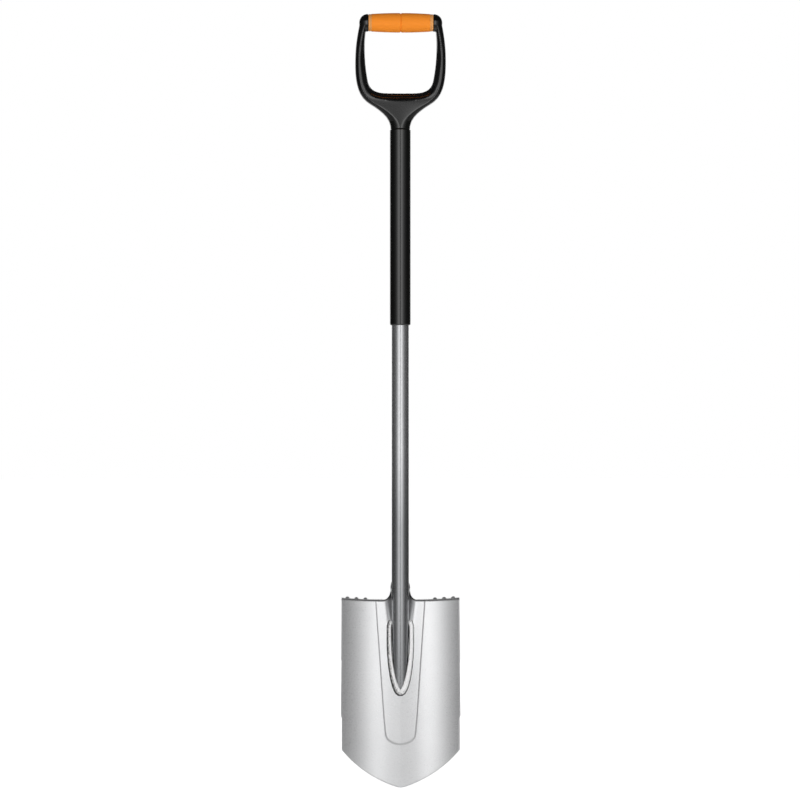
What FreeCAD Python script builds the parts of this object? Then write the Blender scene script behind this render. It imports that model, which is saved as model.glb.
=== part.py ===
import FreeCAD, Part
import math
import os

from FreeCAD import Vector

# Pointed spade, in millimetres.
# X runs to the right and -Y is the front, the hollow face of the blade.
# Heights are measured up from the blade's point, along the straight shaft.
# Depths are measured back from the axis of the shaft.

# Driving dimensions of the whole tool
neck_height = 291.0
shoulder_height = 1021.5
handle_height = 162.8

# One overrun for every cut, and the clearances of the fits
overrun = 5.0
tube_seat_clearance = 0.15
spigot_clearance = 0.05
sleeve_clearance = 0.1
pin_clearance = 0.05
grip_bore_clearance = 0.05
grip_end_clearance = 0.2

# Blade: pressed steel sheet
sheet = 2.0
blade_width = 184.8
blade_top_width = 182.6
blade_dish = 20.0
dish_overrun_share = 1.07
blade_lean_angle = 4.5
corner_height = 62.0
corner_mid_share = 0.51
corner_sag = 9.0
step_height = 112.8
step_inset = 1.2
step_run = 2.5
edge_bevel = 1.1

# Blade: channel for the tube, and the cuff behind the neck
frog_height = 158.0
channel_lip_radius = 7.2
channel_end_width = 24.0
channel_border = 1.6
channel_cuts = 7
cuff_side_rise = 13.0
cuff_angle = 54.0
neck_fillet_width = 10.0
neck_fillet_height = 13.0
neck_fillet_share = 0.27

# Blade: raised panel
panel_rise = 1.2
panel_edge_radius = 1.0
panel_height = 67.7
panel_corner_height = 78.5
panel_bottom_width = 47.0
panel_top_width = 76.6

# Blade: turned treads and their ribs
tread_depth = 16.0
tread_bend_radius = 4.5
tread_inner_offset = 27.0
tread_rise = 4.0
tread_leg = 9.0
tread_inset = 0.2
tread_end_gap = 0.4
rib_count = 3
rib_first_offset = 54.0
rib_spacing = 14.0
rib_width = 6.4
rib_length = 10.0
rib_rise = 2.3
rib_bevel = 1.2

# Tube, and its lower end, which is pressed to a tongue
tube_radius = 13.5
tube_wall = 1.5
tongue_height = 152.0
tongue_length = 76.0
tongue_swell_share = 1.02
tongue_power_share = 0.7

# Welds
bead_radius = 5.4
bead_offset = 3.6
bead_depth = 2.2
bead_top_height = 257.0
bead_cuts = 35
bead_sides = 10
neck_bead = 2.5
neck_bead_inset = 0.4

# Sleeve over the upper tube
sleeve_length = 304.0
sleeve_radius = 16.3
sleeve_lip = 1.6
sleeve_edge = 0.8

# Handle body
neck_radius = 15.5
neck_half_depth = 15.1
handle_width = 141.0
handle_lean_angle = 12.0
handle_bend_length = 40.0
opening_rise = 52.5
opening_width = 112.4
opening_flare = 12.0
yoke_cuts = 24
arm_flat_angle = 52.0
arm_top_angle = 80.0
arm_top_flare_share = 0.1
cheek_radius = 13.6
cheek_flat = 0.8
core_radius = 8.0
spigot_length = 55.0
spigot_chamfer = 2.0

# Pin through the tube and the handle's spigot
pin_radius = 3.0
pin_drop = 25.0
pin_end_inset = 0.4

# Grip sleeves on the crossbar
grip_length = 100.0
grip_mid_radius = 15.0
grip_end_radius = 13.5
grip_band_length = 4.6
grip_band_step = 0.4
groove_depth = 1.2
groove_half_width = 1.5

# Values that follow from the sizes above
crossbar_height = shoulder_height + handle_height
opening_height = shoulder_height + opening_rise
sleeve_height = shoulder_height - sleeve_length
cuff_side_height = neck_height + cuff_side_rise
channel_radius = tube_radius + tube_seat_clearance
channel_reach = channel_radius + channel_lip_radius
channel_half_width = math.sqrt(2 * channel_radius * channel_reach - channel_radius ** 2)
channel_share = channel_radius / channel_reach
lip_share = 1 - channel_share
flat_half_width = channel_half_width + channel_border
dish_span = blade_width / 2 - flat_half_width
dish_radius = (dish_span ** 2 + blade_dish ** 2) / (2 * blade_dish)
sheet_top = cuff_side_height + 2 * channel_reach
blade_slope = math.tan(math.radians(blade_lean_angle))
level_sheet = sheet / math.cos(math.radians(blade_lean_angle))
bore_radius = tube_radius - tube_wall


def mix(low, high, share):
    return low + (high - low) * share


def midway(low, high):
    return (low + high) / 2


def clamped(share):
    return min(max(share, 0), 1)


def spline(points):
    curve = Part.BSplineCurve()
    curve.interpolate(points)
    return curve.toShape()


def paced_spline(points, paces):
    """A curve whose knots are shared by all the sections of one loft."""
    curve = Part.BSplineCurve()
    curve.interpolate(Points=points, Parameters=paces)
    return curve.toShape()


def chord_paces(points):
    """The distance run along a chain of points, at each of them."""
    paces = [0]
    for start, end in zip(points, points[1:]):
        paces.append(paces[-1] + end.sub(start).Length)
    return paces


def line(start, end):
    return Part.makeLine(start, end)


def arc(start, middle, end):
    return Part.Arc(start, middle, end).toShape()


def bow(start, middle, end):
    """An arc, or a line where the three points lie in one."""
    if end.sub(start).cross(middle.sub(start)).Length < Part.Precision.confusion():
        return line(start, end)
    return arc(start, middle, end)


def closed_wire(edges):
    return Part.Wire(Part.sortEdges(edges)[0])


def mirrored(shape):
    return shape.mirror(Vector(), Vector(1, 0, 0))


def front_prism(half_edges, depth):
    """A body of constant outline, seen from the front, from its right half."""
    wire = closed_wire(half_edges + [mirrored(edge) for edge in half_edges])
    face = Part.Face(wire)
    face.translate(Vector(0, -depth, 0))
    return face.extrude(Vector(0, 2 * depth, 0))


def front_point(x, z):
    return Vector(x, 0, z)


def one_solid(shape):
    return shape.removeSplitter().Solids[0]


# Blade

def face_depth(z):
    """How far the middle of the face stands behind the shaft's axis."""
    return -blade_slope * (neck_height - z)


def face_at(x, z):
    """Depth of the face beside the channel: flat in the middle, then dished."""
    reach = max(abs(x) - flat_half_width, 0)
    rise = dish_radius - math.sqrt(dish_radius ** 2 - reach ** 2)
    return face_depth(z) - rise * level_sheet / sheet


def channel_size(z):
    """Depth and half width of the channel at one height."""
    share = clamped((z - frog_height) / (neck_height - frog_height))
    if z > neck_height:
        depth = channel_radius - face_depth(z)
        return depth, math.sqrt(channel_reach ** 2 - (channel_reach - depth) ** 2)
    eased = math.sin(share * math.pi / 2) ** 2
    return channel_radius * eased, mix(channel_end_width / 2, channel_half_width, share)


def channel_edges(z, offset):
    """The channel in a level cut, from left to right: a trough between two lips.

    The offset moves the cut back from the face, square to it.
    """
    depth, width = channel_size(z)
    flat = face_depth(z)
    bend = math.atan(depth / width)
    near = width / (2 * math.cos(bend))
    fall = near * math.tan(bend / 2)

    def place(x, back, slope):
        square = offset * mix(level_sheet / sheet, 1, math.sin(slope))
        return Vector(x + square * math.sin(slope), flat + back + square * math.cos(slope), z)

    foot_x = width * channel_share
    bottom = place(0, depth, 0)
    foot = place(foot_x, depth - foot_x * math.tan(bend), 2 * bend)
    lip = place(width - near * lip_share, fall * lip_share, bend)
    brim = place(width, 0, 0)
    right = [bow(foot, lip, brim), line(brim, place(flat_half_width, 0, 0))]
    left = [mirrored(edge) for edge in reversed(right)]
    return left + [bow(Vector(-foot.x, foot.y, z), bottom, foot)] + right


def dish_edges(offset):
    """The face beside the channel, cut square to it: a flat between two arcs."""
    edge_slope = math.asin(dish_span * dish_overrun_share / dish_radius)
    reach = dish_radius + offset

    def place(slope):
        x = flat_half_width + reach * math.sin(slope)
        return Vector(x, reach * math.cos(slope) - dish_radius, 0)

    right = arc(place(0), place(edge_slope / 2), place(edge_slope))
    flat = line(Vector(-flat_half_width, offset, 0), place(0))
    return [mirrored(right), flat, right]


def level_edges(depth):
    """A straight line well behind the face, as wide as the face."""
    right = dish_edges(0)[-1].Vertexes[-1].Point
    return [line(Vector(-right.x, depth, 0), Vector(right.x, depth, 0))]


def between(front, back, z):
    """The outline of one cut, from the edges of its front and of its back."""
    front_end = front[-1].Vertexes[-1].Point
    back_end = back[-1].Vertexes[-1].Point
    right = line(front_end, back_end)
    left = line(Vector(-back_end.x, back_end.y, z), Vector(-front_end.x, front_end.y, z))
    return closed_wire(front + [right] + back + [left])


def dished(depth):
    """The dished face carried back: by the sheet, or to a level well behind it."""
    back = dish_edges(depth) if depth == sheet else level_edges(depth)
    length = sheet_top + blade_width
    body = Part.Face(between(dish_edges(0), back, 0)).extrude(Vector(0, 0, length))
    body.translate(Vector(0, 0, -blade_width))
    body.rotate(Vector(0, 0, neck_height), Vector(1, 0, 0), -blade_lean_angle)
    return body


def channel_body(depth):
    channel = neck_height - frog_height
    heights = [frog_height + channel * step / channel_cuts for step in range(channel_cuts + 1)]
    heights += [cuff_side_height, midway(cuff_side_height, sheet_top), sheet_top]
    wires = []
    for z in heights:
        if depth == sheet:
            back = channel_edges(z, sheet)
        else:
            back = [line(Vector(-flat_half_width, depth, z), Vector(flat_half_width, depth, z))]
        wires.append(between(channel_edges(z, 0), back, z))
    return Part.makeLoft(wires, True, True)


def pressed(depth):
    """The dished face with its channel, carried back."""
    size = blade_width
    corner = Vector(-flat_half_width, -size, frog_height)
    slot = Part.makeBox(2 * flat_half_width, 2 * size, sheet_top - frog_height + size, corner)
    return dished(depth).cut(slot).fuse(channel_body(depth))


def tread_line(x):
    """Height of the tread's top, which rises in a shallow curve to the corner."""
    share = (x - tread_inner_offset) / (blade_top_width / 2 - tread_inner_offset)
    return neck_height + tread_rise * share ** 2


def outline_half():
    """Right half of the blade's outline, from the point round to the cuff."""
    half = blade_width / 2
    low_half = half - step_inset
    point = front_point(0, 0)
    corner = front_point(low_half, corner_height)
    chord = corner.sub(point)
    square = Vector(chord.z, 0, -chord.x).normalize()
    bulge = point.add(chord.multiply(corner_mid_share)).add(square.multiply(corner_sag))
    under_step = front_point(low_half, step_height - step_run)
    over_step = front_point(half, step_height)
    top_half = blade_top_width / 2
    inner = tread_inner_offset
    mid = midway(inner, top_half)
    top_corner = front_point(top_half, tread_line(top_half) - tread_bend_radius)
    top_middle = front_point(mid, tread_line(mid) - tread_bend_radius)
    top_inner = front_point(inner, tread_line(inner) - tread_bend_radius)
    web = front_point(inner, neck_height)
    neck = channel_radius + sheet
    foot = front_point(neck + neck_fillet_width, neck_height)
    hollow = front_point(
        neck + neck_fillet_width * neck_fillet_share,
        neck_height + neck_fillet_height * neck_fillet_share,
    )
    root = front_point(neck, neck_height + neck_fillet_height)
    cuff_top = sheet_top - overrun
    side = front_point(neck, cuff_top)
    return [
        arc(point, bulge, corner),
        line(corner, under_step),
        line(under_step, over_step),
        line(over_step, top_corner),
        arc(top_corner, top_middle, top_inner),
        line(top_inner, web),
        line(web, foot),
        arc(foot, hollow, root),
        line(root, side),
        line(side, front_point(0, cuff_top)),
    ]


def panel_half(inset):
    """Right half of the raised panel's outline, which runs on up over the neck."""
    top = front_point(panel_top_width / 2 - inset, neck_height)
    corner = front_point(panel_bottom_width / 2 - inset, panel_corner_height + inset)
    bottom = front_point(0, panel_height + inset)
    side = front_point(-corner.x, corner.z)
    sweep = arc(corner, bottom, side)
    start = sweep.FirstParameter
    half_sweep = sweep.Curve.trim(start, midway(start, sweep.LastParameter))
    above = cuff_side_height + 3 * channel_reach
    return [
        half_sweep.toShape(),
        line(corner, top),
        line(top, front_point(top.x, above)),
        line(front_point(top.x, above), front_point(0, above)),
    ]


def cuff_cutter():
    """Trims the cuff on a slant, so that its rim is highest at the back."""
    size = 4 * channel_reach
    slant = Part.makeBox(2 * size, 2 * size, size)
    slant.translate(Vector(-size, -size, 0))
    slant.rotate(Vector(), Vector(1, 0, 0), cuff_angle)
    slant.translate(Vector(0, 0, cuff_side_height))
    above = Part.makeBox(2 * size, 2 * size, size, Vector(-size, -size, cuff_side_height))
    return slant.common(above)


def tread_section(x):
    """One cut across the turned tread: a leg in the sheet, a bend and a shelf."""
    top = tread_line(x)
    leg = sheet - 2 * tread_inset
    bend = tread_bend_radius
    turn = 1 - math.sqrt(0.5)
    inner_bend = bend - leg
    inner_turn = leg + inner_bend * turn

    def at(y, drop):
        z = top - drop
        return Vector(x, face_at(x, z) + panel_rise + tread_inset + y, z)

    edges = [
        line(at(0, tread_leg), at(0, bend)),
        arc(at(0, bend), at(bend * turn, bend * turn), at(bend, 0)),
        line(at(bend, 0), at(tread_depth, 0)),
        line(at(tread_depth, 0), at(tread_depth, leg)),
        line(at(tread_depth, leg), at(bend, leg)),
        arc(at(bend, leg), at(inner_turn, inner_turn), at(leg, bend)),
        line(at(leg, bend), at(leg, tread_leg)),
        line(at(leg, tread_leg), at(0, tread_leg)),
    ]
    return Part.Wire(edges)


def tread():
    first = tread_inner_offset + tread_end_gap
    last = blade_top_width / 2 - tread_inset
    steps = 6
    wires = [tread_section(mix(first, last, step / steps)) for step in range(steps + 1)]
    return Part.makeLoft(wires, True, True)


def tread_rib(number):
    """A pressed rib that keeps the boot from slipping."""
    x = rib_first_offset + number * rib_spacing
    half = rib_width / 2
    radius = (half ** 2 + rib_rise ** 2) / (2 * rib_rise)
    top = tread_line(x)
    depth = face_at(x, neck_height) + panel_rise + midway(tread_bend_radius, tread_depth)
    start = Vector(x, depth - rib_length / 2, top + rib_rise - radius)
    rib = Part.makeCylinder(radius, rib_length, start, Vector(0, 1, 0))
    low = top - sheet / 2
    high = top + rib_rise
    foot = rib_length / 2
    crest = foot - rib_bevel
    sides = [(-foot, low), (foot, low), (foot, top), (crest, high), (-crest, high), (-foot, top)]
    corners = [Vector(x - rib_width, depth + y, z) for y, z in sides]
    trim = Part.Face(Part.makePolygon(corners + corners[:1])).extrude(Vector(2 * rib_width, 0, 0))
    return rib.common(trim)


def edges_along(shape, half_edges, rise):
    """The front edges of a body that follow an outline, where its face stands back by a rise."""
    outline = closed_wire(half_edges + [mirrored(edge) for edge in half_edges])
    found = []
    for edge in shape.Edges:
        middle = edge.valueAt(midway(edge.FirstParameter, edge.LastParameter))
        flat = Part.Vertex(middle.x, 0, middle.z)
        level = abs(middle.y - rise - face_at(middle.x, middle.z)) < sheet / 4
        if level and flat.distToShape(outline)[0] < tread_inset:
            found.append(edge)
    return found


def make_blade():
    depth = blade_width
    outline = front_prism(outline_half(), depth)
    panel = pressed(sheet).common(outline).common(front_prism(panel_half(0), depth))
    panel = panel.makeFillet(panel_edge_radius, edges_along(panel, panel_half(0)[:2], 0))
    rim = dished(sheet)
    rim.translate(Vector(0, panel_rise, 0))
    rim = rim.common(outline).cut(front_prism(panel_half(sheet), depth))
    rim = rim.makeChamfer(edge_bevel, edges_along(rim, outline_half()[:1], panel_rise))
    right = tread().fuse([tread_rib(number) for number in range(rib_count)])
    blade = panel.fuse(rim).removeSplitter().fuse([right, mirrored(right)])
    return one_solid(blade.cut(cuff_cutter()))


# Tube

def tongue_points(radius, bottom, length):
    """Right half of the tongue's pointed arch, from its end up."""
    length_shares = (0, 0.03, 0.1, 0.22, 0.4, 0.6, 0.8, 1)
    points = []
    for share in length_shares:
        swell = math.sin(share * math.pi / 2) ** tongue_power_share
        points.append(front_point(radius * swell, bottom + length * share))
    return points


def tongue_prism(radius, bottom, length):
    """The tongue's outline carried on up past the whole tube."""
    points = tongue_points(radius, bottom, length)
    full = [Vector(-point.x, point.y, point.z) for point in reversed(points[1:])] + points
    wide = radius + overrun
    low = bottom + length
    high = shoulder_height + overrun
    corners = [full[-1], front_point(wide, low), front_point(wide, high)]
    corners += [front_point(-wide, high), front_point(-wide, low), full[0]]
    edges = [line(start, end) for start, end in zip(corners, corners[1:])]
    face = Part.Face(closed_wire([spline(full)] + edges))
    face.translate(Vector(0, -wide, 0))
    return face.extrude(Vector(0, 2 * wide, 0))


def pin_axis():
    return shoulder_height - pin_drop


def pin_hole():
    reach = tube_radius + overrun
    hole = Part.makeCylinder(pin_radius + pin_clearance, 2 * reach)
    hole.rotate(Vector(), Vector(1, 0, 0), 90)
    hole.translate(Vector(0, reach, pin_axis()))
    return hole


def tube_outside():
    """The tube without its bore."""
    length = shoulder_height - tongue_height
    outside = Part.makeCylinder(tube_radius, length, Vector(0, 0, tongue_height))
    swell = tube_radius * tongue_swell_share
    return outside.common(tongue_prism(swell, tongue_height, tongue_length))


def make_tube(outside, trim):
    low = tongue_height + tube_wall
    bore = Part.makeCylinder(bore_radius, shoulder_height - low + overrun, Vector(0, 0, low))
    bore = bore.common(tongue_prism(bore_radius * tongue_swell_share, low, tongue_length))
    tube = outside.cut(bore).cut(trim).cut(pin_hole())
    return max(tube.Solids, key=lambda solid: solid.Volume)


# Welds

def bead_path():
    """Middle of the bead, from the bottom of the tongue up its right side."""
    half = tongue_points(tube_radius, tongue_height, tongue_length)
    places = [front_point(0, tongue_height - bead_offset)]
    for before, here, after in zip(half[1:], half[2:], half[3:]):
        along = after.sub(before)
        square = Vector(along.z, 0, -along.x).normalize()
        places.append(here.add(square.multiply(bead_offset)))
    side = tube_radius + bead_offset
    tongue_top = tongue_height + tongue_length
    end = bead_top_height - bead_radius
    places += [front_point(side, tongue_top), front_point(side, end)]
    return [Vector(place.x, face_at(place.x, place.z) + bead_depth, place.z) for place in places]


def bead_ring(centre, along, radius):
    """One many-sided cut through the bead, always started at its front."""
    tangent = Vector(along).normalize()
    front = Vector(0, -1, 0)
    front = front.sub(Vector(tangent).multiply(front.dot(tangent))).normalize()
    side = tangent.cross(front)
    corners = []
    for step in range(bead_sides):
        turn = 2 * math.pi * step / bead_sides
        forward = Vector(front).multiply(radius * math.cos(turn))
        sideways = Vector(side).multiply(radius * math.sin(turn))
        corners.append(centre.add(forward).add(sideways))
    return Part.makePolygon(corners + corners[:1])


def make_front_weld(outside, trim):
    """The bead that runs round the tongue, rounded at its two upper ends."""
    end_rise_shares = (0.5, 0.8, 0.95)
    end_radius_shares = (0.87, 0.6, 0.31)
    right = bead_path()
    left = [Vector(-place.x, place.y, place.z) for place in reversed(right[1:])]
    path = spline(left + right).discretize(bead_cuts)
    up = Vector(0, 0, 1)
    rings = []
    for before, here, after in zip(path, path[1:], path[2:]):
        rings.append(bead_ring(here, after.sub(before), bead_radius))
    first = [bead_ring(path[0], Vector(0, 0, -1), bead_radius)]
    last = [bead_ring(path[-1], up, bead_radius)]
    for rise, share in zip(end_rise_shares, end_radius_shares):
        lift = Vector(up).multiply(bead_radius * rise)
        first.insert(0, bead_ring(path[0].add(lift), Vector(0, 0, -1), bead_radius * share))
        last.append(bead_ring(path[-1].add(lift), up, bead_radius * share))
    bead = Part.makeLoft(first + rings + last, True, True)
    weld = bead.cut(trim).cut(outside)
    return max(weld.Solids, key=lambda solid: solid.Volume)


def make_neck_weld():
    """The seam where the cuff's slanted rim meets the tube."""
    height = cuff_side_height
    size = 4 * channel_reach
    outer = channel_radius + sheet - neck_bead_inset
    ring = Part.makeCylinder(outer, size, Vector(0, 0, height))
    ring = ring.cut(Part.makeCylinder(tube_radius, size + overrun, Vector(0, 0, height)))
    slab = Part.makeBox(2 * size, 2 * size, neck_bead)
    slab.translate(Vector(-size, -size, 0))
    slab.rotate(Vector(), Vector(1, 0, 0), cuff_angle)
    slab.translate(Vector(0, 0, height))
    weld = ring.common(slab)
    front = Part.makeBox(2 * size, size, size, Vector(-size, -size, height))
    return max(weld.cut(front).Solids, key=lambda solid: solid.Volume)


# Sleeve

def make_sleeve():
    inner = tube_radius + sleeve_clearance
    outer = sleeve_radius
    low = sleeve_height
    high = shoulder_height
    places = [
        (inner, low),
        (outer - sleeve_lip, low),
        (outer, low + sleeve_lip),
        (outer, high - sleeve_edge),
        (outer - sleeve_edge, high),
        (inner, high),
        (inner, low),
    ]
    profile = Part.makePolygon([front_point(x, z) for x, z in places])
    return Part.Face(profile).revolve(Vector(), Vector(0, 0, 1), 360)


# Handle body

def handle_lean(z):
    """How far the handle leans forward, which starts as a bend above the shoulder."""
    above = max(z - shoulder_height, 0)
    slope = math.tan(math.radians(handle_lean_angle))
    bend = handle_bend_length
    if above < bend:
        return slope * above ** 2 / (2 * bend)
    return slope * (above - bend / 2)


def handle_half_depth(z):
    share = (z - shoulder_height) / handle_height
    return mix(neck_half_depth, cheek_radius, share)


def flat_angle(z):
    """How far round each side runs, to where the front and back flats begin."""
    share = (z - shoulder_height) / handle_height
    round_angle = 90
    wide_share = 0.25
    upper_share = 0.75
    lower = mix(round_angle, arm_flat_angle, clamped(share / wide_share))
    upper = mix(0, arm_top_angle - arm_flat_angle, clamped((share - upper_share) / (1 - upper_share)))
    return math.radians(lower + upper)


def yoke_section(z, half_width):
    """A level cut through the whole yoke: two rounded sides joined by flats."""
    radius = handle_half_depth(z)
    angle = flat_angle(z)
    middle = -handle_lean(z)
    centre = half_width - radius
    reach = centre + radius * math.cos(angle)
    depth = radius * math.sin(angle)
    edges = []
    for side in (1, -1):
        start = Vector(side * reach, middle - side * depth, z)
        end = Vector(side * reach, middle + side * depth, z)
        edges.append(arc(start, Vector(side * half_width, middle, z), end))
        edges.append(line(end, Vector(-side * reach, end.y, z)))
    return Part.Wire(edges)


def yoke():
    """The outside of the yoke and arms, up to the crossbar's axis."""
    height_shares = (
        0.075, 0.125, 0.176, 0.214, 0.249, 0.298, 0.354, 0.43, 0.521, 0.639, 0.764, 0.883, 1,
    )
    width_shares = (
        0.25, 0.325, 0.452, 0.575, 0.705, 0.83, 0.908, 0.963, 0.993, 1, 0.988, 0.953, 0.9,
    )
    collar_share = 0.03
    collar = shoulder_height + handle_height * collar_share
    side = [front_point(neck_radius, collar)]
    for height_share, width_share in zip(height_shares, width_shares):
        z = shoulder_height + handle_height * height_share
        side.append(front_point(handle_width / 2 * width_share, z))
    places = [front_point(neck_radius, shoulder_height)] + spline(side).discretize(yoke_cuts)
    return Part.makeLoft([yoke_section(place.z, place.x) for place in places], True, True)


def opening_half():
    """Right half of the hand gap, from its lowest point up past the crossbar."""
    height = crossbar_height - opening_height
    half = opening_width / 2
    width_shares = (0, 0.2, 0.41, 0.63, 0.79, 0.886, 0.936, 0.977, 0.996, 1, 0.985)
    height_shares = (0, 0.002, 0.009, 0.031, 0.077, 0.149, 0.251, 0.395, 0.517, 0.68, 0.82)
    places = []
    for width_share, height_share in zip(width_shares, height_shares):
        places.append(front_point(half * width_share, opening_height + height * height_share))
    inner = grip_length / 2 + grip_end_clearance
    places.append(front_point(inner, crossbar_height + cheek_radius / 2))
    places.append(front_point(inner, crossbar_height + cheek_radius + overrun))
    return places


def opening_section(depth_share):
    """The gap's outline at one depth: it widens to the front and to the back."""
    half = opening_half()
    fade_share = 0.5
    spread = opening_flare * depth_share ** 2
    slope = math.tan(math.radians(handle_lean_angle))
    start = shoulder_height + handle_bend_length / 2
    befores = [front_point(-half[1].x, half[1].z)] + half[:-1]
    afters = half[1:] + [half[-1]]
    right = []
    for before, here, after in zip(befores, half, afters):
        along = after.sub(before)
        square = Vector(along.z, 0, -along.x).normalize()
        rise = (here.z - opening_height) / (crossbar_height - opening_height)
        fade = mix(1, arm_top_flare_share, clamped((rise - fade_share) / (1 - fade_share)))
        moved = here.add(square.multiply(spread * fade))
        y = cheek_radius * depth_share - slope * (moved.z - start)
        right.append(Vector(moved.x, y, moved.z))
    full = [Vector(-point.x, point.y, point.z) for point in reversed(right[1:])] + right
    middle = [front_point(-point.x, point.z) for point in reversed(half[1:])] + half
    return Part.Wire([paced_spline(full, chord_paces(middle)), line(full[-1], full[0])])


def hand_gap():
    depth_shares = (-1.3, -0.8, -0.45, 0, 0.45, 0.8, 1.3)
    return Part.makeLoft([opening_section(share) for share in depth_shares], True, True)


def crossbar_middle():
    return Vector(0, -handle_lean(crossbar_height), crossbar_height)


def crossbar_rod(start, end, radius):
    """A round rod on the crossbar's axis."""
    along = Vector(1, 0, 0)
    return Part.makeCylinder(radius, end - start, crossbar_middle().add(Vector(start, 0, 0)), along)


def cheek():
    """The round end of one arm, which holds the crossbar."""
    inner = grip_length / 2 + grip_end_clearance
    start = inner + cheek_flat
    ball = Part.makeSphere(cheek_radius, crossbar_middle().add(Vector(start, 0, 0)))
    ball = ball.cut(crossbar_rod(start - 2 * cheek_radius, start, 2 * cheek_radius))
    return ball.fuse(crossbar_rod(inner, start, cheek_radius)).removeSplitter().Solids[0]


def core_bar():
    half = grip_length / 2 + grip_end_clearance + cheek_flat
    return crossbar_rod(-half, half, core_radius)


def grip_space():
    half = grip_length / 2 + grip_end_clearance
    return crossbar_rod(-half, half, grip_mid_radius + overrun)


def spigot():
    radius = bore_radius - spigot_clearance
    low = shoulder_height - spigot_length
    corners = [
        front_point(0, low),
        front_point(radius - spigot_chamfer, low),
        front_point(radius, low + spigot_chamfer),
        front_point(radius, shoulder_height + overrun),
        front_point(0, shoulder_height + overrun),
        front_point(0, low),
    ]
    return Part.Face(Part.makePolygon(corners)).revolve(Vector(), Vector(0, 0, 1), 360)


def make_handle():
    arms = yoke().cut(hand_gap()).cut(grip_space())
    right = cheek()
    body = arms.fuse([right, mirrored(right), core_bar(), spigot()])
    return one_solid(body.cut(pin_hole()))


def make_pin():
    half = tube_radius - pin_end_inset
    pin = Part.makeCylinder(pin_radius, 2 * half)
    pin.rotate(Vector(), Vector(1, 0, 0), 90)
    pin.translate(Vector(0, half, pin_axis()))
    return pin


# Grips

def make_grip():
    """Right half of the soft grip: a barrel with an end band and half of the groove."""
    shoulder_share = 0.03
    bulge_share = 0.3
    half = grip_length / 2
    band = half - grip_band_length
    end = grip_end_radius
    step = end - grip_band_step
    groove = groove_half_width
    bottom = front_point(0, grip_mid_radius - groove_depth)
    shoulder = front_point(groove, mix(grip_mid_radius, end, shoulder_share))
    middle = front_point(midway(groove, band), mix(grip_mid_radius, end, bulge_share))
    edges = [
        line(front_point(0, 0), bottom),
        line(bottom, shoulder),
        arc(shoulder, middle, front_point(band, end)),
        line(front_point(band, end), front_point(band, step)),
        line(front_point(band, step), front_point(half, step)),
        line(front_point(half, step), front_point(half, 0)),
        line(front_point(half, 0), front_point(0, 0)),
    ]
    barrel = Part.Face(Part.Wire(edges)).revolve(Vector(), Vector(1, 0, 0), 360)
    barrel.translate(crossbar_middle())
    return barrel.cut(crossbar_rod(-overrun, half + overrun, core_radius + grip_bore_clearance))


# Assembly: the origin is under the middle of the grip, where a hook holds the tool

def export(name, shape):
    placed = shape.copy()
    hook_height = crossbar_height - grip_mid_radius
    placed.translate(Vector(0, handle_lean(crossbar_height), -hook_height))
    placed.exportStep("parts/" + name + ".step")
    print(name, len(placed.Solids), placed.isValid(), round(placed.Volume))


def main():
    os.makedirs("parts", exist_ok=True)
    trim = pressed(2 * channel_reach)
    export("blade", make_blade())
    outside = tube_outside()
    export("shaft_tube", make_tube(outside, trim))
    export("front_weld", make_front_weld(outside, trim))
    export("neck_weld", make_neck_weld())
    export("shaft_sleeve", make_sleeve())
    export("handle_body", make_handle())
    export("handle_pin", make_pin())
    right = make_grip()
    export("grip_right", right)
    export("grip_left", mirrored(right))


main()
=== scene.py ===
import math
import random

import bmesh
import bpy
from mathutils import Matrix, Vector


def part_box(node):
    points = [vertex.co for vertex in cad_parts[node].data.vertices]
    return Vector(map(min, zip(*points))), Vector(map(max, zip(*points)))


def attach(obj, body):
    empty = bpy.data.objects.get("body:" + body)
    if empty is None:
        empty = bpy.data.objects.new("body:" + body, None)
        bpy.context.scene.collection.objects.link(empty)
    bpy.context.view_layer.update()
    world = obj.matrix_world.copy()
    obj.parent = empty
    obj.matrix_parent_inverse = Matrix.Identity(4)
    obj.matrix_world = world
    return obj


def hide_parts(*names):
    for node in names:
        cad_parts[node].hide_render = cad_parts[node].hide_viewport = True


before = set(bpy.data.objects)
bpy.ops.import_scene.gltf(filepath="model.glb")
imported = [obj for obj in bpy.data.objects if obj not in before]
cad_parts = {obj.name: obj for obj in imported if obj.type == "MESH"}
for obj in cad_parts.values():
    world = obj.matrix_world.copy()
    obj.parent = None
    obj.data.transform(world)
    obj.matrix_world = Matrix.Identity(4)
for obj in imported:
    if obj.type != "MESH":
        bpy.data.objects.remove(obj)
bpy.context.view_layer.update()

# Camera: it looks at the spade from the front, level with the middle of its length,
# and stands a hair to one side. The spade fills nearly the whole height of the picture.
MM = 0.001
SHOWN_HEIGHT = 1236.6 * MM
CAMERA_DISTANCE = 5.0
TIP_TO_CAMERA = 601.3 * MM
CAMERA_ASIDE = -1.2 * MM
CAMERA_TURN = math.radians(1.5)
SENSOR = 36.0
FAR_CLIP = 100
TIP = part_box("blade")[0].z
SLEEVE_FRONT, SLEEVE_BACK = (corner.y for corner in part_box("shaft_sleeve"))
AXIS = (SLEEVE_FRONT + SLEEVE_BACK) / 2
MIDDLE = TIP + TIP_TO_CAMERA

scene = bpy.context.scene
scene.view_settings.view_transform = "Standard"
camera = bpy.data.objects.new("camera", bpy.data.cameras.new("camera"))
scene.collection.objects.link(camera)
camera.location = (
    CAMERA_ASIDE - CAMERA_DISTANCE * math.sin(CAMERA_TURN),
    -CAMERA_DISTANCE * math.cos(CAMERA_TURN),
    MIDDLE,
)
camera.rotation_euler = (math.pi / 2, 0, -CAMERA_TURN)
camera.data.sensor_width = SENSOR
camera.data.lens = SENSOR * CAMERA_DISTANCE / SHOWN_HEIGHT
camera.data.clip_end = FAR_CLIP
scene.camera = camera

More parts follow.
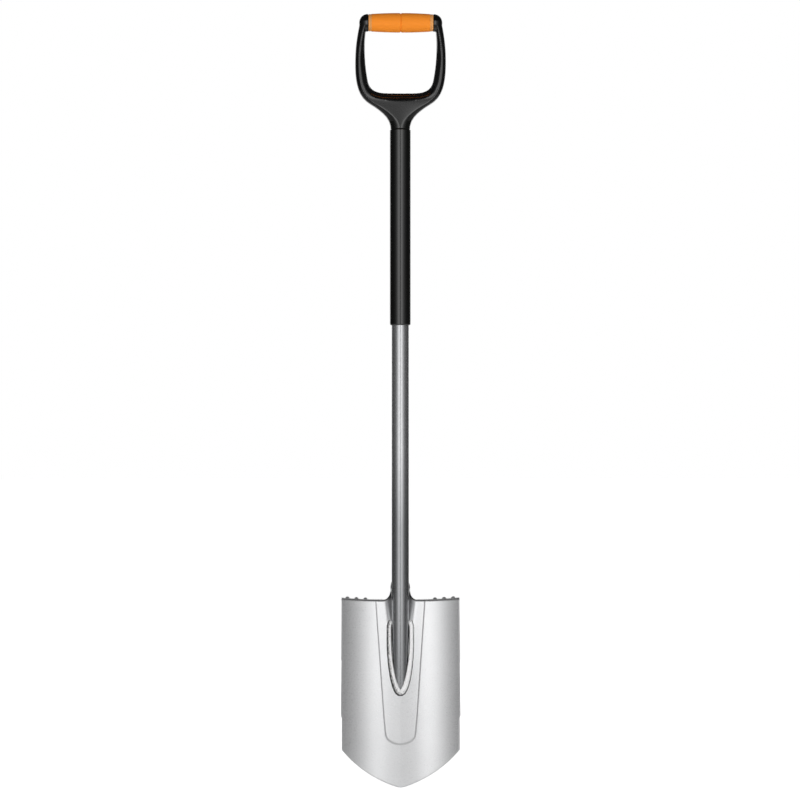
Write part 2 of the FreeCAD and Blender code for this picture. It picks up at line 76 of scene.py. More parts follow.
# Floor: boards under the tip of the spade, painted with flat white emulsion. It shows as
# white to the eye and in reflections, and keeps the shadow of the spade.
FLOOR_WHITE = "#f4f4f4"
FLOOR_SIZE = 40.0
FLOOR_GAP = 0.5 * MM
FLOOR_LIFT = 0.75
ROLLER_MARKS = 900.0


def linear(code):
    """A hex colour as Blender's own linear numbers."""
    shares = [int(code[place:place + 2], 16) / 255 for place in (1, 3, 5)]
    dark = [share / 12.92 for share in shares]
    light = [((share + 0.055) / 1.055) ** 2.4 for share in shares]
    chosen = [b if share > 0.04045 else a for share, a, b in zip(shares, dark, light)]
    return (*chosen, 1)


def add(finish, kind, settings=None, links=None):
    """Adds a node, sets its properties and sockets, and links other nodes' outputs to it."""
    tree = finish.node_tree
    node = tree.nodes.new(kind)
    for name, value in (settings or {}).items():
        if isinstance(name, str) and hasattr(node, name):
            setattr(node, name, value)
        else:
            node.inputs[name].default_value = value
    for name, output in (links or {}).items():
        tree.links.new(output, node.inputs[name])
    return node


def new_finish(name):
    """A material with no nodes yet."""
    finish = bpy.data.materials.new(name)
    finish.use_nodes = True
    finish.node_tree.nodes.clear()
    return finish


def new_piece(name, verts, faces, finish, smooth=True):
    """A new object from points and faces, in metres."""
    mesh = bpy.data.meshes.new(name)
    mesh.from_pydata([tuple(point) for point in verts], [], faces)
    mesh.materials.append(finish)
    mesh.polygons.foreach_set("use_smooth", [smooth] * len(mesh.polygons))
    mesh.update()
    piece = bpy.data.objects.new(name, mesh)
    scene.collection.objects.link(piece)
    return piece


def mark(piece, name, values):
    """Stores one number for each point of a piece, for its material to read."""
    marks = piece.data.attributes.new(name, "FLOAT", "POINT")
    marks.data.foreach_set("value", values)


def looked_at(finish):
    """1 for what the eye meets, straight, mirrored or through glass, and 0 for other light."""
    path = add(finish, "ShaderNodeLightPath")
    rays = path.outputs["Is Camera Ray"]
    for name in ("Is Glossy Ray", "Is Transmission Ray"):
        either = add(
            finish, "ShaderNodeMath", {"operation": "MAXIMUM"}, {0: rays, 1: path.outputs[name]},
        )
        rays = either.outputs[0]
    return rays


# Emulsion: dead matt and even, so that only the shadow draws on it.
floor_paint = new_finish("floor_matt_emulsion")
lift = add(
    floor_paint, "ShaderNodeMath", {"operation": "MULTIPLY", 1: FLOOR_LIFT},
    {0: looked_at(floor_paint)},
)
stipple = add(floor_paint, "ShaderNodeTexNoise", {"Scale": ROLLER_MARKS, "Detail": 3.0})
floor_bump = add(
    floor_paint, "ShaderNodeBump", {"Strength": 0.05}, {"Height": stipple.outputs["Fac"]},
)
floor_shader = add(
    floor_paint, "ShaderNodeBsdfPrincipled",
    {
        "Base Color": linear(FLOOR_WHITE),
        "Roughness": 0.9,
        "Specular IOR Level": 0.1,
        "Emission Color": (1, 1, 1, 1),
    },
    {"Normal": floor_bump.outputs["Normal"], "Emission Strength": lift.outputs[0]},
)
add(floor_paint, "ShaderNodeOutputMaterial", None, {"Surface": floor_shader.outputs["BSDF"]})
half = FLOOR_SIZE / 2
floor_level = TIP - FLOOR_GAP
corners = [(-half, -half), (half, -half), (half, half), (-half, half)]
floor = new_piece(
    "floor", [(x, y, floor_level) for x, y in corners], [(0, 1, 2, 3)], floor_paint, False,
)

# Surround: the white studio room. It is full white to the eye and in reflections, and
# weaker as a source of light, so that the soft boxes shape the spade.
SURROUND_LIGHT = 0.25
world = bpy.data.worlds.new("studio_surround")
scene.world = world
world.use_nodes = True
world.node_tree.nodes.clear()
level = add(
    world, "ShaderNodeMapRange", {"To Min": SURROUND_LIGHT, "To Max": 1.0},
    {"Value": looked_at(world)},
)
white = add(
    world, "ShaderNodeBackground", {"Color": (1, 1, 1, 1)}, {"Strength": level.outputs[0]},
)
add(world, "ShaderNodeOutputWorld", None, {"Surface": white.outputs[0]})

# Soft boxes: tall studio lamps with a cloth front. Two stand beside the camera and two
# weaker ones behind the spade.
BOX_DISTANCE = 2.4
BOX_HEIGHT = 2.6
BOX_NEAR_ANGLE = 7.0
BOX_FAR_ANGLE = 38.0
BOX_LEVEL = 2.35
BACK_NEAR_ANGLE = 145.0
BACK_FAR_ANGLE = 176.0
BACK_LEVEL = 1.2


def round_shaft(distance, degrees, z):
    """A point round the shaft, at an angle from straight in front of it."""
    turn = math.radians(degrees)
    return Vector((distance * math.sin(turn), AXIS - distance * math.cos(turn), z))


for name, start, end, strength in (
    ("left", -BOX_NEAR_ANGLE, -BOX_FAR_ANGLE, BOX_LEVEL),
    ("right", BOX_NEAR_ANGLE, BOX_FAR_ANGLE, BOX_LEVEL),
    ("back_left", -BACK_NEAR_ANGLE, -BACK_FAR_ANGLE, BACK_LEVEL),
    ("back_right", BACK_NEAR_ANGLE, BACK_FAR_ANGLE, BACK_LEVEL),
):
    near = round_shaft(BOX_DISTANCE, start, MIDDLE)
    far = round_shaft(BOX_DISTANCE, end, MIDDLE)
    lamp = bpy.data.lights.new("soft_box_" + name, "AREA")
    lamp.shape = "RECTANGLE"
    lamp.size = (far - near).length
    lamp.size_y = BOX_HEIGHT
    lamp.energy = strength * math.pi * lamp.size * lamp.size_y
    box = bpy.data.objects.new("soft_box_" + name, lamp)
    scene.collection.objects.link(box)
    box.location = (near + far) / 2
    aim = Vector((0, AXIS, MIDDLE)) - box.location
    box.rotation_euler = aim.to_track_quat("-Z", "Z").to_euler()
    box.visible_camera = False
    box.visible_glossy = False

# Light tent: the round sheet of cloth that bright metal mirrors. It glows where the soft
# boxes stand behind it, has a dark gap for the camera, and goes over to black at the sides.
# Each level belongs to an angle round the shaft, counted from the camera.
TENT_RADIUS = 2.2
TENT_HALF_HEIGHT = 1.45
TENT_SIDES = 96
TENT_BACK = 142
TENT_LEVELS = (
    (-142, 0.04), (-100, 0.03), (-76, 0.05), (-63, 0.09), (-52, 0.17), (-43, 0.32),
    (-35, 0.56), (-27, 0.95), (-19, 1.35), (-9, 1.5), (-5, 0.55), (0, 0.28), (4, 0.55),
    (8, 1.5), (17, 1.3), (25, 0.82), (34, 0.46), (43, 0.29), (52, 0.18), (63, 0.09),
    (80, 0.04), (142, 0.03),
)
TENT_FULL = max(strength for angle, strength in TENT_LEVELS)
# Lit cloth: it gives the metal its long soft lines of light, and no weave shows in them.
tent_cloth = new_finish("tent_lit_cloth")
where = add(tent_cloth, "ShaderNodeTexCoord")
apart = add(tent_cloth, "ShaderNodeSeparateXYZ", None, {"Vector": where.outputs["Object"]})
ahead = add(
    tent_cloth, "ShaderNodeMath", {"operation": "MULTIPLY", 1: -1.0}, {0: apart.outputs["Y"]},
)
turned = add(
    tent_cloth, "ShaderNodeMath", {"operation": "ARCTAN2"},
    {0: apart.outputs["X"], 1: ahead.outputs[0]},
)
around = add(
    tent_cloth, "ShaderNodeMapRange", {"From Min": -math.pi, "From Max": math.pi},
    {"Value": turned.outputs[0]},
)
glow = add(tent_cloth, "ShaderNodeValToRGB", None, {"Fac": around.outputs[0]})
stops = glow.color_ramp.elements
while len(stops) < len(TENT_LEVELS):
    stops.new(0.5)
for stop, (angle, strength) in zip(stops, TENT_LEVELS):
    stop.position = 0.5 + angle / 360
for stop, (angle, strength) in zip(stops, TENT_LEVELS):
    share = strength / TENT_FULL
    stop.color = (share, share, share, 1)
tent_glow = add(
    tent_cloth, "ShaderNodeEmission", {"Strength": TENT_FULL}, {"Color": glow.outputs["Color"]},
)
add(tent_cloth, "ShaderNodeOutputMaterial", None, {"Surface": tent_glow.outputs[0]})
ring = []
for step in range(TENT_SIDES + 1):
    angle = -TENT_BACK + 2 * TENT_BACK * step / TENT_SIDES
    ring.append(round_shaft(TENT_RADIUS, angle, 0) - Vector((0, AXIS, 0)))
verts = [(p.x, p.y, z) for p in ring for z in (-TENT_HALF_HEIGHT, TENT_HALF_HEIGHT)]
faces = [(2 * n, 2 * n + 2, 2 * n + 3, 2 * n + 1) for n in range(TENT_SIDES)]
tent = new_piece("tent", verts, faces, tent_cloth, False)
tent.location = (0, AXIS, MIDDLE)

# Roof and ground cloths: black cloth over the tent, and grey cloth on the ground, paler
# round the foot of the spade. They keep the tops and undersides of the curves dark.
ROOF_REACH = 2.4
ROOF_BACK = 2.0
NAP_MARKS = 400.0
GROUND_RISE = 2 * MM
GROUND_LINES = (
    (-2.4, 0.0), (-0.8, 0.0), (-0.35, 0.8), (0.0, 1.0), (0.35, 0.8), (0.8, 0.0), (2.4, 0.0),
)
GROUND_DARK = 0.17
GROUND_PALE = 0.52
# Black wool: nearly no light comes back from it, with a faint nap.
roof_cloth = new_finish("roof_black_cloth")
nap = add(roof_cloth, "ShaderNodeTexNoise", {"Scale": NAP_MARKS})
nap_tone = add(
    roof_cloth, "ShaderNodeMix",
    {"data_type": "RGBA", 6: linear("#282828"), 7: linear("#323232")}, {0: nap.outputs["Fac"]},
)
roof_glow = add(
    roof_cloth, "ShaderNodeEmission", {"Strength": 1.0}, {"Color": nap_tone.outputs[2]},
)
add(roof_cloth, "ShaderNodeOutputMaterial", None, {"Surface": roof_glow.outputs[0]})
roof = new_piece(
    "roof",
    [
        (-ROOF_REACH, -ROOF_REACH, 0), (ROOF_REACH, -ROOF_REACH, 0),
        (ROOF_REACH, ROOF_BACK, 0), (-ROOF_REACH, ROOF_BACK, 0),
    ],
    [(0, 1, 2, 3)], roof_cloth, False,
)
roof.location = (0, AXIS, MIDDLE + TENT_HALF_HEIGHT)
# Grey cotton: it lifts the low parts of the blade, most of all where the spade stands.
ground_cloth = new_finish("ground_grey_cloth")
nap = add(ground_cloth, "ShaderNodeTexNoise", {"Scale": NAP_MARKS})
shade = add(ground_cloth, "ShaderNodeAttribute", {"attribute_name": "shade"})
nap_tone = add(
    ground_cloth, "ShaderNodeMix",
    {"data_type": "RGBA", 6: linear("#f0f0f0"), 7: linear("#ffffff")}, {0: nap.outputs["Fac"]},
)
ground_glow = add(
    ground_cloth, "ShaderNodeEmission", None,
    {"Color": nap_tone.outputs[2], "Strength": shade.outputs["Fac"]},
)
add(ground_cloth, "ShaderNodeOutputMaterial", None, {"Surface": ground_glow.outputs[0]})
verts = []
shades = []
for y, share_y in GROUND_LINES:
    for x, share_x in GROUND_LINES:
        verts.append((x, y, 0))
        shades.append(GROUND_DARK + (GROUND_PALE - GROUND_DARK) * share_x * share_y)
across = len(GROUND_LINES)
faces = []
for row in range(across - 1):
    for n in range(across - 1):
        a = row * across + n
        faces.append((a, a + 1, a + across + 1, a + across))
ground = new_piece("ground", verts, faces, ground_cloth, False)
mark(ground, "shade", shades)
ground.location = (0, AXIS, floor_level + GROUND_RISE)
for cloth in (tent, roof, ground):
    cloth.visible_camera = False
    cloth.visible_diffuse = False
    cloth.visible_shadow = False
    cloth.visible_transmission = False

# Blade: one sheet of boron steel, hot pressed to a dish with a channel for the tube,
# a raised panel and two turned treads with ribs, then shot blasted and lacquered.
# Sizes are in millimetres, and heights are counted up from the tip. The back of the sheet
# reaches a little past its face, so the face stops short by an allowance.
SHEET = 2.0
SIDE_ALLOWANCE = 0.95
FOOT_ALLOWANCE = 0.16
EDGE_ROUND = 0.8
HALF_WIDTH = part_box("blade")[1].x / MM
TOP_HALF_WIDTH = 91.3
LOW_INSET = 1.2
DISH_DEPTH = 20.0
FLAT_HALF_WIDTH = 21.2
DISH_BLEND = 36.0
LEAN = math.tan(math.radians(4.5))
NECK = 291.0
CORNER = 62.0
CORNER_SAG = 9.0
STEP_HEIGHT = 112.8
STEP_RUN = 2.5
PANEL_RISE = 1.2
PANEL_EDGE = 2.8
PANEL_BLEND = 3.0
PANEL_LOW_HALF = 23.5
PANEL_TOP_HALF = 38.3
PANEL_LOW = 67.7
PANEL_CORNER = 78.5
TREAD_INNER = 27.4
TREAD_RISE = 4.0
TREAD_BEND = 4.8
TREAD_DEPTH = 16.0
TREAD_START = TREAD_INNER - 0.1
RIB_PLACES = (54.0, 68.0, 82.0)
RIB_WIDTH = 6.4
RIB_LENGTH = 10.0
RIB_RISE = 2.3
RIB_END = 1.6
TUBE_RADIUS = 13.5
SEAT_RADIUS = TUBE_RADIUS + 0.15
CUFF_RADIUS = SEAT_RADIUS + SHEET
CUFF_SIDE = 304.0
CUFF_SLANT = math.tan(math.radians(54))
FILLET_WIDTH = 10.0
FILLET_END = CUFF_RADIUS + FILLET_WIDTH
CHANNEL_LOW = 158.0
CHANNEL_WALL = math.tan(math.radians(29))
CHANNEL_LOW_HALF = 12.0
CHANNEL_HALF = 19.0
FLARE_LOW = 250.0
FLARE = 4.5
SEAT_BLEND = 1.0
LIP_BLEND = 1.2
FULL_BLEND_DEPTH = 4.0
WEB_TURN = 0.85
WEB_TURN_RUN = 4.0

dish_span = HALF_WIDTH - FLAT_HALF_WIDTH
dish_radius = (dish_span ** 2 + DISH_DEPTH ** 2) / (2 * DISH_DEPTH)
panel_sag = PANEL_CORNER - PANEL_LOW
panel_bottom_radius = (PANEL_LOW_HALF ** 2 + panel_sag ** 2) / (2 * panel_sag)


def from_tip(x, y, z):
    """A point given in millimetres: right, back from the shaft's axis, up from the tip."""
    return Vector((x * MM, AXIS + y * MM, TIP + z * MM))


def mix(low, high, share):
    """The value a share of the way from low to high."""
    return low + (high - low) * share


def clamped(share):
    """A share kept from 0 to 1."""
    return min(max(share, 0.0), 1.0)


def eased(share):
    """A share from 0 to 1 that starts and ends gently."""
    share = clamped(share)
    return share * share * (3 - 2 * share)


def larger(a, b, blend):
    """The larger of two heights, with the corner between them rounded."""
    return (a + b + math.sqrt((a - b) ** 2 + blend ** 2)) / 2


def face_depth(x, z):
    """Depth of the dished face, which leans forward towards the tip."""
    past = abs(x) - FLAT_HALF_WIDTH
    reach = larger(past, 0, DISH_BLEND) * dish_span / larger(dish_span, 0, DISH_BLEND)
    middle = larger(-FLAT_HALF_WIDTH, 0, DISH_BLEND)
    rise = dish_radius - math.sqrt(dish_radius ** 2 - reach ** 2) - middle ** 2 / (2 * dish_radius)
    return -LEAN * max(NECK - z, 0) - rise


def panel_half(z):
    """Half of the raised panel's width, which grows towards the neck."""
    share = (z - PANEL_CORNER) / (NECK - PANEL_CORNER)
    return mix(PANEL_LOW_HALF, PANEL_TOP_HALF, max(share, 0))


def panel_drop(x, z):
    """How far the face stands back outside the raised panel."""
    side = abs(x) - panel_half(z)
    centre = PANEL_LOW + panel_bottom_radius
    bottom = -HALF_WIDTH
    if z < centre:
        bottom = math.hypot(x, z - centre) - panel_bottom_radius
    return PANEL_RISE * eased(larger(side, bottom, PANEL_BLEND) / PANEL_EDGE + 0.5)


def channel_drop(x, z):
    """How far the channel is pressed back: a round seat for the tube between slanted walls."""
    share = clamped((z - CHANNEL_LOW) / (NECK - CHANNEL_LOW))
    depth = SEAT_RADIUS * math.sin(share * math.pi / 2) ** 2
    widened = clamped((z - CHANNEL_LOW) / (FLARE_LOW - CHANNEL_LOW))
    half = mix(CHANNEL_LOW_HALF, CHANNEL_HALF, widened)
    half += FLARE * clamped((z - FLARE_LOW) / (NECK - FLARE_LOW))
    wall = (half - abs(x)) * CHANNEL_WALL * depth / SEAT_RADIUS
    seat = -SEAT_RADIUS
    if abs(x) < SEAT_RADIUS:
        seat = depth - SEAT_RADIUS + math.sqrt(SEAT_RADIUS ** 2 - x ** 2)
    soft = min(depth / FULL_BLEND_DEPTH, 1.0)
    return larger(larger(wall, seat, SEAT_BLEND * soft), 0, LIP_BLEND * soft)


def tread_line(x):
    """Height of the tread, which rises a little towards its outer end."""
    share = (abs(x) - TREAD_INNER) / (TOP_HALF_WIDTH - TREAD_INNER)
    return NECK + TREAD_RISE * max(share, 0) ** 2


def top_line(x):
    """Height of the sheet's upper edge: cuff, fillet at the neck, then the tread."""
    x = abs(x)
    if x < CUFF_RADIUS:
        return CUFF_SIDE + CUFF_SLANT * math.sqrt(max(SEAT_RADIUS ** 2 - x ** 2, 0))
    if x < FILLET_END:
        share = (FILLET_END - x) / FILLET_WIDTH
        return CUFF_SIDE - (CUFF_SIDE - NECK) * math.sqrt(1 - share ** 2)
    return tread_line(x)


def side_line(z):
    """Half of the face's width, with the small step in its side."""
    if z < STEP_HEIGHT:
        share = clamped((z - STEP_HEIGHT + STEP_RUN) / STEP_RUN)
        return mix(HALF_WIDTH - LOW_INSET, HALF_WIDTH, share) - SIDE_ALLOWANCE
    share = (z - STEP_HEIGHT) / (NECK - STEP_HEIGHT)
    return mix(HALF_WIDTH, TOP_HALF_WIDTH, share) - SIDE_ALLOWANCE


def point_line(x):
    """Height of the cutting edge, a shallow arc from the tip to the corner."""
    wide = HALF_WIDTH - LOW_INSET
    chord = math.hypot(wide, CORNER)
    radius = (chord ** 2 / 4 + CORNER_SAG ** 2) / (2 * CORNER_SAG)
    inward = radius - CORNER_SAG
    centre_x = wide / 2 - inward * CORNER / chord
    centre_z = CORNER / 2 + inward * wide / chord
    arc = math.sqrt(radius ** 2 - (min(abs(x), wide) - centre_x) ** 2)
    return centre_z - arc + FOOT_ALLOWANCE


def spread(start, end, step):
    """Evenly spaced values from start up to, but not including, end."""
    count = max(round((end - start) / step), 1)
    return [start + (end - start) * n / count for n in range(count)]


# The mesh has upright lines, close together where the sheet bends.
PLAIN_HALF = 22.0
PANEL_BAND = 2.4
columns = []
for start, end, step in (
    (0, 9, 1.2),
    (9, CUFF_RADIUS, 0.55),
    (CUFF_RADIUS, 20, 0.6),
    (20, FILLET_END, 0.8),
    (FILLET_END, TREAD_INNER, 0.9),
    (TREAD_INNER, PANEL_TOP_HALF - PANEL_BAND, 1.2),
    (PANEL_TOP_HALF - PANEL_BAND, PANEL_TOP_HALF + PANEL_BAND, 0.4),
    (PANEL_TOP_HALF + PANEL_BAND, TOP_HALF_WIDTH, 1.0),
):
    columns += spread(start, end, step)
columns.append(TOP_HALF_WIDTH)
columns = [-x for x in reversed(columns[1:])] + columns


def column_place(base, z):
    """Where an upright line stands at one height: it keeps to the edge of the panel."""
    x = abs(base)
    edge = panel_half(z)
    if x > PANEL_TOP_HALF:
        share = (x - PANEL_TOP_HALF) / (TOP_HALF_WIDTH - PANEL_TOP_HALF)
        x = mix(edge, side_line(z), share)
    elif x > PLAIN_HALF:
        x = mix(PLAIN_HALF, edge, (x - PLAIN_HALF) / (PANEL_TOP_HALF - PLAIN_HALF))
    return math.copysign(x, base)


# Each line climbs the face, rounds the bend at the top, and runs back along the tread.
HALFWAY = 120.0
ROW_STEP = 1.3
BEND_ROWS = 7
TREAD_ROWS = 14
low_shares = spread(0, 0.52, 0.022) + spread(0.52, 0.66, 0.0065) + spread(0.66, 1, 0.02)
high_shares = spread(0, 1, ROW_STEP / (NECK - HALFWAY))
grid = []
for base in columns:
    line = []
    foot = column_place(base, CORNER)
    top = top_line(base) - TREAD_BEND
    heights = [mix(point_line(foot), HALFWAY, share) for share in low_shares]
    heights += [mix(HALFWAY, top, share) for share in high_shares]
    for z in heights:
        x = column_place(base, z)
        line.append((x, face_depth(x, z) + panel_drop(x, z) + channel_drop(x, z), z))
    x = column_place(base, top)
    turned = 1.0 if abs(base) >= TREAD_START else WEB_TURN
    turned *= eased((abs(base) - TUBE_RADIUS) / WEB_TURN_RUN)
    depth = face_depth(x, top) + panel_drop(x, top) + channel_drop(x, top)
    for step in range(BEND_ROWS + 1):
        share = step / BEND_ROWS
        angle = share * math.pi / 2 * turned
        y = depth + TREAD_BEND * (1 - math.cos(angle))
        z = top + TREAD_BEND * mix(share, math.sin(angle), turned)
        line.append((mix(x, base, share), y, z))
    for step in range(1, TREAD_ROWS + 1):
        y = mix(TREAD_BEND, TREAD_DEPTH, step / TREAD_ROWS)
        bump = 0
        for place in RIB_PLACES:
            round_share = 1 - ((abs(base) - place) * 2 / RIB_WIDTH) ** 2
            if round_share > 0:
                along = abs(y - (TREAD_BEND + TREAD_DEPTH) / 2) - RIB_LENGTH / 2
                bump = RIB_RISE * math.sqrt(round_share) * eased(-along / RIB_END)
        line.append((base, depth + y, top + TREAD_BEND + bump))
    grid.append(line)
rows = len(grid[0])
web_rows = rows - TREAD_ROWS
verts = [from_tip(*point) for line in grid for point in line]
faces = []
for n, (left, right) in enumerate(zip(columns, columns[1:])):
    tread_here = min(abs(left), abs(right)) >= TREAD_START
    for row in range((rows if tread_here else web_rows) - 1):
        a = n * rows + row
        faces.append((a, a + rows, a + rows + 1, a + 1))

# Blasted steel: a pale satin grey with soft edges to its lights and slow clouds in its
# tone. The shot leaves marks 0.35 mm wide, which are drawn twice as coarse so that they
# show. Painted shade: the fillets at the neck are painted near black, and the channel's
# cheeks a little darker, for the shadow that falls there beside the tube.
BLADE_PALE = "#f3f3f4"
BLADE_DARK = "#e6e7e8"
NECK_SHADE_COLOUR = "#201f1f"
SHOT_MARK = 0.35 * 2
CLOUD = 71.4
blade_steel = new_finish("blade_blasted_steel")
where = add(blade_steel, "ShaderNodeTexCoord")
cloud = add(
    blade_steel, "ShaderNodeTexNoise",
    {"Scale": 1 / (CLOUD * MM), "Detail": 4.0, "Roughness": 0.6},
    {"Vector": where.outputs["Object"]},
)
shot = add(
    blade_steel, "ShaderNodeTexNoise", {"Scale": 1 / (SHOT_MARK * MM), "Detail": 2.0},
    {"Vector": where.outputs["Object"]},
)
tone = add(
    blade_steel, "ShaderNodeMix",
    {"data_type": "RGBA", 6: linear(BLADE_DARK), 7: linear(BLADE_PALE)},
    {0: cloud.outputs["Fac"]},
)
# Painted shade: the steel's tone is darkened at the neck's fillets and the channel's cheeks.
painted_shade = add(blade_steel, "ShaderNodeAttribute", {"attribute_name": "painted_shade"})
shaded_tone = add(
    blade_steel, "ShaderNodeMix", {"data_type": "RGBA", 7: linear(NECK_SHADE_COLOUR)},
    {0: painted_shade.outputs["Fac"], 6: tone.outputs[2]},
)
satin = add(
    blade_steel, "ShaderNodeMapRange", {"To Min": 0.24, "To Max": 0.33},
    {"Value": shot.outputs["Fac"]},
)
pitted = add(
    blade_steel, "ShaderNodeBump", {"Strength": 0.12, "Distance": 0.05 * MM},
    {"Height": shot.outputs["Fac"]},
)
blade_shader = add(
    blade_steel, "ShaderNodeBsdfPrincipled", {"Metallic": 0.86},
    {
        "Base Color": shaded_tone.outputs[2],
        "Roughness": satin.outputs[0],
        "Normal": pitted.outputs["Normal"],
    },
)
add(blade_steel, "ShaderNodeOutputMaterial", None, {"Surface": blade_shader.outputs["BSDF"]})
blade = new_piece("pressed_blade", verts, faces, blade_steel)

# Painted shade: a near-black spot on each fillet beside the neck, and a faint darkening of the
# channel's cheeks beside the tube, where shadow falls.
FILLET_SHADE_X = 19.0
FILLET_SHADE_Z = 297.0
FILLET_SHADE_WIDE = 6.5
FILLET_SHADE_TALL = 8.0
FILLET_SHADE_FULL = 1.35
CHEEK_SHADE = 0.22
CHEEK_LOW = 244.0
CHEEK_LOW_RUN = 24.0
CHEEK_TOP_RUN = 12.0
CHEEK_SPREAD_LOW = 256.0
CHEEK_SPREAD = 9.5
CHEEK_EDGE = 5.0
painted_shades = []
for vert in blade.data.vertices:
    x = abs(vert.co.x / MM)
    z = (vert.co.z - TIP) / MM
    fillet_shade = eased(FILLET_SHADE_FULL - math.hypot((x - FILLET_SHADE_X) / FILLET_SHADE_WIDE, (z - FILLET_SHADE_Z) / FILLET_SHADE_TALL))
    widened = clamped((z - CHEEK_SPREAD_LOW) / (NECK - CHEEK_SPREAD_LOW))
    reach = TUBE_RADIUS + CHEEK_SPREAD * widened
    cheek_shade = CHEEK_SHADE * eased((z - CHEEK_LOW) / CHEEK_LOW_RUN)
    cheek_shade *= eased((reach - x) / CHEEK_EDGE + 0.5)
    cheek_shade *= eased((NECK + CHEEK_TOP_RUN - z) / CHEEK_TOP_RUN)
    painted_shades.append(max(fillet_shade, cheek_shade))
mark(blade, "painted_shade", painted_shades)
cleaned = bmesh.new()
cleaned.from_mesh(blade.data)
bmesh.ops.remove_doubles(cleaned, verts=cleaned.verts, dist=0.02 * MM)
loose = [vert for vert in cleaned.verts if not vert.link_faces]
bmesh.ops.delete(cleaned, geom=loose, context="VERTS")
cleaned.to_mesh(blade.data)
cleaned.free()
thick = blade.modifiers.new("sheet", "SOLIDIFY")
thick.thickness = SHEET * MM
thick.offset = -1
thick.use_even_offset = False
rounded = blade.modifiers.new("eased_edges", "BEVEL")
rounded.width = EDGE_ROUND * MM
rounded.segments = 2
rounded.limit_method = "ANGLE"
rounded.angle_limit = math.radians(50)
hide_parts("blade")
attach(blade, "root")

# Shaft: one drawn steel tube, its lower end pressed to a round-nosed tongue that lies in
# the blade's channel. It is powder coated in silver before the sleeve goes on.
# Silver coat: a bright, smooth grey with a fine sparkle. Painted shade: the coat is painted
# darker towards the blade, where the light falls off lower down. Its flakes are far too fine
# to show, so they are drawn at 0.625 mm.
COAT_BRIGHT = "#dfe0e2"
COAT_DEEP = "#c8c9cb"
COAT_SHADED = "#8f9092"
COAT_FLAKE = 0.625
TUBE_SHADE_TOP = 520.0
TUBE_SHADE_LOW = 400.0
tube_coat = new_finish("tube_silver_coat")
where = add(tube_coat, "ShaderNodeTexCoord")
flake = add(
    tube_coat, "ShaderNodeTexNoise", {"Scale": 1 / (COAT_FLAKE * MM), "Detail": 1.0},
    {"Vector": where.outputs["Object"]},
)
coat_tone = add(
    tube_coat, "ShaderNodeMix",
    {"data_type": "RGBA", 6: linear(COAT_DEEP), 7: linear(COAT_BRIGHT)},
    {0: flake.outputs["Fac"]},
)
apart = add(tube_coat, "ShaderNodeSeparateXYZ", None, {"Vector": where.outputs["Object"]})
# Painted shade: the coat darkens from 520 mm above the tip down to 400 mm, and stays dark below.
painted_shade_zone = add(
    tube_coat, "ShaderNodeMapRange",
    {"From Min": TIP + TUBE_SHADE_TOP * MM, "From Max": TIP + TUBE_SHADE_LOW * MM, "To Max": 0.62},
    {"Value": apart.outputs["Z"]},
)
shaded_coat = add(
    tube_coat, "ShaderNodeMix", {"data_type": "RGBA", 7: linear(COAT_SHADED)},
    {0: painted_shade_zone.outputs[0], 6: coat_tone.outputs[2]},
)
coat_bump = add(
    tube_coat, "ShaderNodeBump", {"Strength": 0.1, "Distance": 0.03 * MM},
    {"Height": flake.outputs["Fac"]},
)
coat_shader = add(
    tube_coat, "ShaderNodeBsdfPrincipled", {"Metallic": 0.9, "Roughness": 0.23},
    {"Base Color": shaded_coat.outputs[2], "Normal": coat_bump.outputs["Normal"]},
)
add(tube_coat, "ShaderNodeOutputMaterial", None, {"Surface": coat_shader.outputs["BSDF"]})
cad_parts["shaft_tube"].data.materials[0] = tube_coat

# Neck weld: a short seam laid behind the neck, where the cuff's slanted rim meets the tube.
# Brushed weld metal: bright, with a scaly skin of waves about 2 mm long.
WELD_SCALE = 2.0
weld_steel = new_finish("weld_bead_steel")
where = add(weld_steel, "ShaderNodeTexCoord")
scales = add(
    weld_steel, "ShaderNodeTexNoise", {"Scale": 1 / (WELD_SCALE * MM), "Detail": 3.0},
    {"Vector": where.outputs["Object"]},
)
weld_bump = add(
    weld_steel, "ShaderNodeBump", {"Strength": 0.4, "Distance": 0.2 * MM},
    {"Height": scales.outputs["Fac"]},
)
weld_shader = add(
    weld_steel, "ShaderNodeBsdfPrincipled",
    {"Metallic": 1.0, "Roughness": 0.35, "Base Color": linear("#d6d7d9")},
    {"Normal": weld_bump.outputs["Normal"]},
)
add(weld_steel, "ShaderNodeOutputMaterial", None, {"Surface": weld_shader.outputs["BSDF"]})
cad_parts["neck_weld"].data.materials[0] = weld_steel

# Front weld: a bead of weld metal laid by hand in a U round the tongue, from one side of
# the channel down round the tube's nose and up the other side. Each ripple is one pause
# of the torch.
BEAD_HALF = 17.4
BEAD_RADIUS = 4.3
BEAD_FOOT_RADIUS = 6.2
BEAD_FOOT = 147.6
BEAD_ARCH = 82.0
BEAD_TOP = 259.5
BEAD_HOOK = 2.6
BEAD_HOOK_LOW = 12.0
BEAD_HOOK_RUN = 14.0
BEAD_PROUD = 0.7
BEAD_FRONT = 0.8
BEAD_BACK = 0.2
BEAD_SQUARE = 0.8
BEAD_WAVER = 0.04
BEAD_TIP = 0.02
BEAD_STEP = 0.6
BEAD_SIDES = 24
RIPPLE = 2.4
RIPPLE_DEPTH = 0.055
RIPPLE_BOW = 0.35
PATH_PARTS = 400
WAVER_STEPS = 4
TOE_START = 0.60
SPATTER_SIDE = 0.28
SPATTER_MIDDLE = 8.0
SPATTER_RUN = 12.0
chance = random.Random(7)


def bead_centre(share):
    """Half of the bead's path: from the foot of the arch up beside the tube."""
    if share < 1:
        x = BEAD_HALF * math.sin(share ** 2 * math.pi / 2) ** 0.5
        return x, BEAD_FOOT + BEAD_ARCH * share ** 2
    z = mix(BEAD_FOOT + BEAD_ARCH, BEAD_TOP, share - 1)
    return BEAD_HALF - BEAD_HOOK * eased((z - BEAD_TOP + BEAD_HOOK_LOW) / BEAD_HOOK_RUN), z


